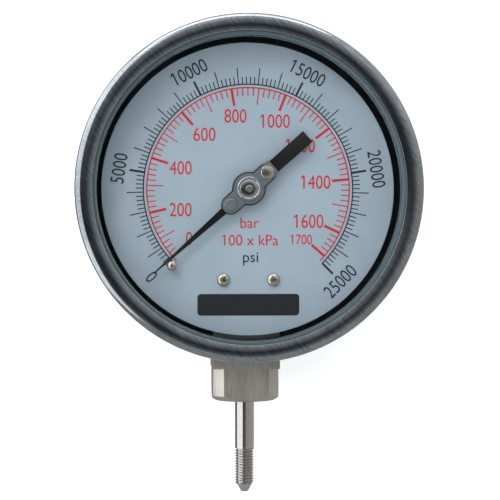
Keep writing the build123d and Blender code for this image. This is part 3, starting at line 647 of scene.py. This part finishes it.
def makeFigures(v):
    black = []
    height, weight = v["height"], v["weight"]
    for value in range(v["psiEach"], dial["psiFull"] + 1, v["psiEach"]):
        around = scaleAngle("psi", value)
        x, z = polar(v["psiRadius"], around)
        tilt = around - 90 if value < dial["psiFull"] else around + 90
        wide = len(str(value)) * v["digitPitch"] - v["digitGap"]
        black.append(dialWord(str(value), x, z, height, wide, tilt, weight))
    x, z = polar(v["psiRadius"], v["psiZeroAngle"])
    wide = v["digitPitch"] - v["digitGap"]
    black.append(dialWord("0", x, z, height, wide, v["psiZeroAngle"] - 90, weight))
    red = []
    for value, across, rise in v["barPlaces"]:
        wide = len(str(value)) * v["digitPitch"] - v["digitGap"]
        red.append(dialWord(str(value), centreX + across * mm, centreZ + rise * mm, height, wide, 0, weight))
    value, across, rise, tall, wide = v["barLast"]
    red.append(dialWord(str(value), centreX + across * mm, centreZ + rise * mm, tall * mm, wide * mm, 0, weight))
    printed("psi_figures_print", joinMeshes("psi_figures", black), "blackInk")
    printed("bar_figures_print", joinMeshes("bar_figures", red), "redInk")


makeFigures(figures)

words = {
    "bar": {"place": (0.4, -10.9), "size": (6.0, 3.4), "ink": "redInk"},
    "100 x kPa": {"place": (0.5, -16.5), "size": (18.3, 3.5), "ink": "redInk"},
    "psi": {"place": (0.7, -22.6), "size": (4.9, 4.3), "ink": "blackInk"},
}


def makeWords(v):
    for text, word in v.items():
        x = centreX + word["place"][0] * mm
        z = centreZ + word["place"][1] * mm
        wide, tall = (size * mm for size in word["size"])
        piece = dialWord(text, x, z, tall, wide, 0, figures["weight"])
        printed("unit_word_" + text.replace(" ", "_"), piece, word["ink"])


makeWords(words)

badge = {"width": 33.0 * mm, "height": 7.0 * mm, "drop": 37.4 * mm, "corner": 1.2 * mm, "inset": 0.8 * mm}


def makeBadge(v):  # a plain printed panel with rounded corners
    deselectAll()
    z = centreZ - v["drop"]
    bpy.ops.mesh.primitive_plane_add(size=1, location=(centreX, dialFront, z), rotation=(math.pi / 2, 0, 0))
    panel = bpy.context.active_object
    panel.scale = (v["width"], v["height"], 1)
    fixPlace(panel)
    editAll(panel)
    bpy.ops.mesh.bevel(offset=v["corner"], segments=6, affect="VERTICES")
    leaveEdit()
    printed("plain_badge_print", panel, "badge")


makeBadge(badge)
print("dial printed")


pointer = {
    "restAngle": 221.7,
    "length": 41.0 * mm,
    "root": 10.7 * mm,
    "rootWidth": 2.5 * mm,
    "tipWidth": 0.4 * mm,
    "tailLength": 25.4 * mm,
    "tailStart": 4.3 * mm,
    "tailEnd": 4.65 * mm,
    "discRadius": 5.4 * mm,
    "lobeOffset": 7.9 * mm,
    "lobeRadius": 3.1 * mm,
    "boreRadius": 2.95 * mm,
    "edge": 0.06 * mm,
}


def alongPointer(distance):
    return polar(distance, pointer["restAngle"])


def makeBlade(v):
    front, back = bladeFront, bladeBack
    blade = flatDisc("pointer_blade_black", centreX, centreZ, v["discRadius"], front, back, 96)
    offset = v["lobeOffset"]
    parts = [
        flatBar("tip", alongPointer(0), alongPointer(v["length"]),
                v["rootWidth"] + v["root"] / v["length"] * (v["rootWidth"] - v["tipWidth"]),
                v["tipWidth"], front, back),
        flatBar("tail", alongPointer(0), alongPointer(-v["tailLength"]), v["tailStart"], v["tailEnd"], front, back),
        flatBar("neck", alongPointer(-offset), alongPointer(offset), v["lobeRadius"] * 2, v["lobeRadius"] * 2, front, back),
    ]
    for side in (-1, 1):
        x, z = alongPointer(side * offset)
        parts.append(flatDisc("lobe", x, z, v["lobeRadius"], front, back))
    joinShapes(blade, parts)
    bore = flatDisc("bore", centreX, centreZ, v["boreRadius"], front - mm, back + mm)
    joinShapes(blade, [bore], "DIFFERENCE")
    softenEdges(blade, v["edge"], 2, 50)
    smoothShade(blade)
    return finishPiece(blade, "pointer", "pointer", "pointer_black", "pointer_blade")


makeBlade(pointer)

adjustPlate = {
    "radius": 5.0 * mm,
    "lobeRadius": 2.75 * mm,
    "squareEnd": 10.7 * mm,
    "boreRadius": 2.9 * mm,
    "holeRadius": 0.95 * mm,
    "edge": 0.09 * mm,
}


def makeAdjustPlate(v):
    front, back = plateFront, plateBack
    plate = flatDisc("adjust_plate_steel", centreX, centreZ, v["radius"], front, back, 96)
    offset, wide = pointer["lobeOffset"], v["lobeRadius"] * 2
    x, z = alongPointer(offset)
    parts = [
        flatBar("neck", alongPointer(-v["squareEnd"]), alongPointer(offset), wide, wide, front, back),
        flatDisc("lobe", x, z, v["lobeRadius"], front, back),
    ]
    joinShapes(plate, parts)
    holes = [flatDisc("bore", centreX, centreZ, v["boreRadius"], front - mm, back + mm)]
    for side in (-1, 1):
        x, z = alongPointer(side * offset)
        holes.append(flatDisc("hole", x, z, v["holeRadius"], front - mm, back + mm, 40))
    joinShapes(plate, holes, "DIFFERENCE")
    softenEdges(plate, v["edge"], 2, 50)
    smoothShade(plate)
    return finishPiece(plate, "pointer_arbor", "plate", "screw_steel", "adjust_plate")


makeAdjustPlate(adjustPlate)

hub = {
    "ringRadius": 3.9 * mm,
    "dishRadius": 2.95 * mm,
    "bossRadius": 2.85 * mm,
    "bore": 1.05 * mm,
    "crown": 0.36 * mm,
    "crownSteps": 7,
    "dishDepth": 0.34 * mm,
    "pipRadius": 0.8 * mm,
}


def makeHub(v):
    hubFront, hubBack = sideOf("pointer_hub", 1, False), sideOf("pointer_hub", 1, True)
    middle, half = (v["ringRadius"] + v["dishRadius"]) / 2, (v["ringRadius"] - v["dishRadius"]) / 2
    dishFront = hubFront + v["dishDepth"]
    rings = [(v["bore"], hubBack), (v["bossRadius"], hubBack), (v["bossRadius"], plateFront),
             (v["ringRadius"], plateFront)]
    for step in range(v["crownSteps"] + 1):  # the half-round bead that rings the dish
        turn = math.pi * step / v["crownSteps"]
        rings.append((middle + half * math.cos(turn), hubFront + v["crown"] * (1 - math.sin(turn))))
    rings += [(v["dishRadius"] - 0.03 * mm, dishFront), (v["dishRadius"] * 0.6, dishFront + 0.03 * mm),
              (v["bore"], dishFront)]
    turned = lathe("pointer_hub_turned", rings, steps=96, ends="joined")
    smoothShade(turned, 40)
    finishPiece(turned, "pointer_arbor", "hub", "screw_steel", "pointer_hub")
    pip = lathe("pointer_arbor_pip", [  # the arbor's riveted end, dimpled by the punch
        (v["bore"], dishFront + 0.02 * mm), (v["bore"], dishFront - 0.02 * mm),
        (v["pipRadius"], dishFront - 0.1 * mm), (v["pipRadius"] * 0.7, dishFront - 0.13 * mm),
        (v["pipRadius"] * 0.4, dishFront - 0.1 * mm), (v["pipRadius"] * 0.1, dishFront - 0.05 * mm),
    ], steps=48)
    smoothShade(pip, 50)
    finishPiece(pip, "pointer_arbor", "bright", "brass")


makeHub(hub)

screws = {
    "trimRadius": 2.2 * mm, "trimSlot": 0.6 * mm, "trimSlotDepth": 0.4 * mm, "trimSlotAngle": -25,
    "rivetRadius": 2.0 * mm, "rivetThick": 0.45 * mm,
    "dialX": 8.1 * mm, "dialDrop": 29.4 * mm, "dialRadius": 2.1 * mm, "dialThick": 1.4 * mm,
    "crossWidth": 0.62 * mm, "crossLength": 2.5 * mm, "crossDepth": 0.75 * mm,
    "shank": 0.9 * mm,
}


def cutSlot(head, x, z, length, width, degrees, yFront, depth):
    start = polar(-length / 2, degrees, x, z)
    end = polar(length / 2, degrees, x, z)
    slot = flatBar("slot", start, end, width, width, yFront - mm, yFront + depth)
    return joinShapes(head, [slot], "DIFFERENCE")


def makeTrimScrew(v):
    x, z = alongPointer(-pointer["lobeOffset"])
    front, back = sideOf("adjust_screw", 1, False), sideOf("adjust_screw", 1, True)
    seat = plateFront - 0.05 * mm
    head = lathe("adjust_screw_slotted", [
        (v["shank"], back), (v["shank"], seat), (v["trimRadius"], seat),
        (v["trimRadius"], front + 0.3 * mm), (v["trimRadius"] - 0.1 * mm, front + 0.12 * mm),
        (v["trimRadius"] - 0.35 * mm, front),
    ], x, z, 72)
    cutSlot(head, x, z, 6 * mm, v["trimSlot"], v["trimSlotAngle"], front, v["trimSlotDepth"])
    softenEdges(head, 0.04 * mm, 2, 50)
    smoothShade(head)
    return finishPiece(head, "trim_screw", "bright", "screw_steel", "adjust_screw")


def makeRivet(v):
    x, z = alongPointer(pointer["lobeOffset"])
    front, back = sideOf("pointer_rivet", 1, False), sideOf("pointer_rivet", 1, True)
    head = lathe("pointer_rivet_flat", [
        (v["shank"], back), (v["shank"], plateFront), (v["rivetRadius"], plateFront),
        (v["rivetRadius"], front + 0.14 * mm), (v["rivetRadius"] - 0.12 * mm, front + 0.03 * mm),
        (v["rivetRadius"] - 0.3 * mm, front), (v["rivetRadius"] * 0.62, front + 0.02 * mm),
        (v["rivetRadius"] * 0.5, front + 0.07 * mm), (v["rivetRadius"] * 0.2, front + 0.05 * mm),
    ], x, z, 72)
    smoothShade(head, 50)
    return finishPiece(head, "pointer_arbor", "plate", "screw_steel", "pointer_rivet")


def makeDialScrews(v):
    heads = []
    back = sideOf("dial_screws", 1, True)
    for side in (-1, 1):
        x, z = centreX + side * v["dialX"], centreZ - v["dialDrop"]
        radius, thick = v["dialRadius"], v["dialThick"]
        rings = [(v["shank"], back), (v["shank"], dialFront), (radius, dialFront), (radius, dialFront - thick * 0.3)]
        for step in range(1, 7):  # pan head, crowned
            turn = math.pi / 2 * step / 6.6
            rings.append((radius * (0.25 + 0.75 * math.cos(turn)), dialFront - thick * (0.3 + 0.7 * math.sin(turn))))
        head = lathe("head", rings, x, z, 64)
        for degrees in (20 * side, 90 + 20 * side):
            cutSlot(head, x, z, v["crossLength"], v["crossWidth"], degrees, dialFront - thick, v["crossDepth"])
        heads.append(head)
    piece = joinMeshes("dial_screws_crosshead", heads)
    softenEdges(piece, 0.05 * mm, 2, 50)
    smoothShade(piece, 40)
    return finishPiece(piece, "gauge_body", "bright", "screw_steel", "dial_screws")


stopPin = {"radius": 1.55 * mm, "place": 35.0 * mm, "shank": 0.8 * mm}


def makeStopPin(v):
    x, z = polar(v["place"], dial["zeroAngle"])
    front = sideOf("stop_pin", 1, False)
    radius = v["radius"]
    rings = [(v["shank"], dialBack), (v["shank"], dialFront), (radius * 0.8, dialFront),
             (radius * 0.8, front + 1.6 * mm), (radius, front + 1.3 * mm), (radius, front + radius * 0.55)]
    for step in range(1, 7):
        turn = math.pi / 2 * step / 6.5
        rings.append((radius * math.cos(turn), front + radius * 0.55 * (1 - math.sin(turn))))
    pin = lathe("stop_pin_domed", rings, x, z, 64)
    smoothShade(pin, 45)
    return finishPiece(pin, "gauge_body", "bright", "screw_steel", "stop_pin")


makeTrimScrew(screws)
makeRivet(screws)
makeDialScrews(screws)
makeStopPin(stopPin)
print("pointer and screws made")


stem = {
    "radius": 3.175 * mm, "plain": 16.6 * mm, "pitch": 0.907 * mm, "threadDepth": 0.5 * mm,
    "threadLength": 11.6 * mm, "coneTip": 1.1 * mm, "bore": 0.8 * mm, "spigot": 4.5 * mm,
    "spigotLength": 8.0 * mm, "threadSteps": 64,
}


def makeStem(v):
    tip = sideOf("inlet_stem", 2, False)
    threadTop = -v["plain"]
    threadEnd = threadTop - v["threadLength"]
    core = v["radius"] - v["threadDepth"]
    upper = lathe("inlet_stem_turned", [
        (v["spigot"], v["spigotLength"]), (v["spigot"], 0.1 * mm), (v["radius"] + 0.1 * mm, 0.0),
        (v["radius"], -0.1 * mm), (v["radius"], threadTop + 0.3 * mm), (core + 0.06 * mm, threadTop - 0.1 * mm),
        (core - 0.02 * mm, threadTop - 0.4 * mm), (core - 0.02 * mm, threadEnd), (v["coneTip"] + 0.15 * mm, tip + 0.12 * mm),
        (v["coneTip"], tip), (v["bore"], tip + 0.05 * mm), (v["bore"], tip + 2 * mm), (v["bore"] * 0.1, tip + 2 * mm),
    ], 0, 0, 96, upright=True)
    smoothShade(upper, 30)
    deselectAll()
    bpy.ops.mesh.primitive_plane_add(size=1)
    ridge = bpy.context.active_object
    ridge.name = "ridge"
    pitch, outer = v["pitch"], v["radius"]
    turns = int(v["threadLength"] / pitch) + 3
    editAll(ridge)
    bpy.ops.mesh.delete(type="ONLY_FACE")
    bpy.ops.mesh.select_all(action="SELECT")
    leaveEdit()
    corners = [(core - 0.1 * mm, -0.45), (outer - 0.01 * mm, -0.07), (outer - 0.01 * mm, 0.07), (core - 0.1 * mm, 0.45)]
    for vertex, (radius, height) in zip(ridge.data.vertices, [corners[0], corners[3], corners[1], corners[2]]):
        vertex.co = (radius, 0, threadEnd + (height - 0.4) * pitch)
    applyModifier(ridge, "SCREW", {
        "axis": "Z", "angle": math.radians(-360), "screw_offset": pitch, "iterations": turns,
        "steps": v["threadSteps"], "render_steps": v["threadSteps"], "use_merge_vertices": True,
    })
    for height, clear in ((threadTop + 0.4 * mm, "clear_outer"), (threadEnd, "clear_inner")):
        editAll(ridge)
        bpy.ops.mesh.bisect(plane_co=(0, 0, height), plane_no=(0, 0, 1), use_fill=True, **{clear: True})
        leaveEdit()
    cleanUp(ridge)
    smoothShade(ridge, 30)
    piece = joinMeshes("inlet_stem_turned", [upper, ridge])
    return finishPiece(piece, "gauge_body", "stem", "socket_steel", "inlet_stem")


makeStem(stem)
print("stem made")


keptFinishes = {
    "case": "case", "socket": "socket", "socket_pad": "socket", "socket_gasket": "rubber",
    "vent_plug": "rubber", "blowout_disc": "rubber", "case_screws": "bright", "dial_posts": "brass",
    "movement_rear_plate": "movement", "movement_front_plate": "movement", "movement_pillars": "brass",
    "centre_arbor": "brass", "centre_pinion": "brass", "sector_gear": "brass", "sector_arbor": "bright",
    "sector_pin": "bright", "tip_pin": "bright", "link": "bright", "bourdon_tube": "tube",
    "tip_piece": "tube", "hairspring": "tube", "hairspring_collet": "brass", "hairspring_stud": "brass",
    "plate_screws": "bright", "foot_screws": "bright",
}
for node, key in keptFinishes.items():
    giveMaterial(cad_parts[node], key)


stage = {
    "wallGap": 14 * mm,
    "wallSize": 1.6,
    "wallGlow": 0.26,
    "floorDrop": 16 * mm,
    "floorSize": 3.0,
}


def makeStage(v):
    paper, paperTree, paperShader = startMaterial("white_paper_sheet", "f4f5f6", 0.9)
    paperShader.inputs["Emission Color"].default_value = hexColour("ffffff")
    paperShader.inputs["Emission Strength"].default_value = v["wallGlow"]
    clear = addNode(paperTree, "ShaderNodeBsdfTransparent")
    side = addNode(paperTree, "ShaderNodeNewGeometry").outputs["Backfacing"]
    links = {0: side, 1: paperShader.outputs[0], 2: clear.outputs[0]}
    mixed = addNode(paperTree, "ShaderNodeMixShader", None, None, links)  # hides nothing from behind
    paperTree.links.new(mixed.outputs[0], paperTree.nodes["Material Output"].inputs["Surface"])
    deselectAll()
    wallY = cadBox[1][1] + v["wallGap"]
    bpy.ops.mesh.primitive_plane_add(size=v["wallSize"], location=(0, wallY, 0.05), rotation=(math.pi / 2, 0, 0))
    wall = bpy.context.active_object
    wall.name = "backdrop_sheet"
    wall.data.materials.append(paper)
    wall.visible_diffuse = False
    wall.visible_glossy = False
    wall.visible_shadow = False
    deselectAll()
    floorZ = cadBox[0][2] - v["floorDrop"]
    bpy.ops.mesh.primitive_plane_add(size=v["floorSize"], location=(0, 0, floorZ))
    floor = bpy.context.active_object
    floor.name = "floor_sheet"
    floor.data.materials.append(startMaterial("pale_floor_sheet", "eceded", 0.9)[0])
    floor.visible_glossy = False


makeStage(stage)

lights = {
    "left": {"place": (-0.55, -0.235, 0.14), "size": (1.1, 1.3), "power": 6.4, "gloss": True},
    "top": {"place": (-0.05, -0.2, 0.95), "size": (1.1, 0.6), "power": 4.6, "gloss": True},
    "key": {"place": (-0.45, -0.8, 0.75), "size": (0.35, 0.35), "power": 4.0, "gloss": False},
    "fill": {"place": (-0.1, -1.0, 0.25), "size": (0.6, 0.6), "power": 1.6, "gloss": False},
}


def makeLights(v):
    aim = Vector((0, -0.01, 0.06))
    for name, light in v.items():
        deselectAll()
        bpy.ops.object.light_add(type="AREA", location=light["place"])
        lamp = bpy.context.active_object
        lamp.name = name + "_softbox"
        lamp.data.shape = "RECTANGLE"
        lamp.data.size, lamp.data.size_y = light["size"]
        lamp.data.energy = light["power"]
        lamp.visible_glossy = light["gloss"]
        lamp.visible_camera = False
        lamp.rotation_euler = (aim - lamp.location).to_track_quat("-Z", "Y").to_euler()


makeLights(lights)

room = {  # how bright the studio is, by compass turn from the left side round past the camera
    "turns": [(0.0, (0.03, 0.035, 0.04)), (0.262, (0.028, 0.031, 0.036)), (0.3, (0.38, 0.38, 0.37)),
              (0.62, (0.54, 0.53, 0.51)), (0.68, (0.05, 0.05, 0.05))],
    "ceiling": 0.8,
    "floor": 0.45,
    "seen": 0.95,
}


def makeWorld(v):
    world = bpy.data.worlds.new("studio_room")
    bpy.context.scene.world = world
    world.use_nodes = True
    tree = world.node_tree
    way = addNode(tree, "ShaderNodeTexCoord").outputs["Generated"]
    compass = addNode(tree, "ShaderNodeTexGradient", {"gradient_type": "RADIAL"}, None, {0: way}).outputs["Fac"]
    walls = ramp(tree, compass, [(place, colour + (1.0,)) for place, colour in v["turns"]])
    height = addNode(tree, "ShaderNodeSeparateXYZ", None, None, {0: way}).outputs["Z"]
    lift = mathNode(tree, "MULTIPLY_ADD", {1: 0.5, 2: 0.5}, {0: height})
    black, white = grey(0.0), grey(1.0)
    share = ramp(tree, lift, [(0.3, white), (0.475, black), (0.51, black), (0.74, white)])
    ends = ramp(tree, lift, [(0.45, grey(v["floor"])), (0.55, grey(v["ceiling"]))])
    mixed = addNode(tree, "ShaderNodeMix", {"data_type": "RGBA"}, None, {0: share, 6: walls, 7: ends})
    straight = addNode(tree, "ShaderNodeLightPath").outputs["Is Camera Ray"]
    links = {0: straight, 6: mixed.outputs[2]}
    shown = addNode(tree, "ShaderNodeMix", {"data_type": "RGBA"}, {7: grey(v["seen"])}, links)
    tree.links.new(shown.outputs[2], tree.nodes["Background"].inputs["Color"])


makeWorld(room)
bpy.context.scene.view_settings.view_transform = "Standard"

camera = {"azimuth": -3.6, "distance": 476 * mm, "height": 50.3 * mm, "side": -0.25 * mm, "lens": 108.7}


def makeCamera(v):
    turn = math.radians(v["azimuth"])
    away = Vector((math.sin(turn), -math.cos(turn), 0)) * v["distance"]
    deselectAll()
    bpy.ops.object.camera_add(
        location=Vector((centreX + v["side"], bezelFront, v["height"])) + away, rotation=(math.pi / 2, 0, turn))
    eye = bpy.context.active_object
    eye.data.lens = v["lens"]
    eye.data.sensor_width = 36
    eye.data.clip_start = 0.01
    bpy.context.scene.camera = eye


makeCamera(camera)
print("stage, lights and camera set")
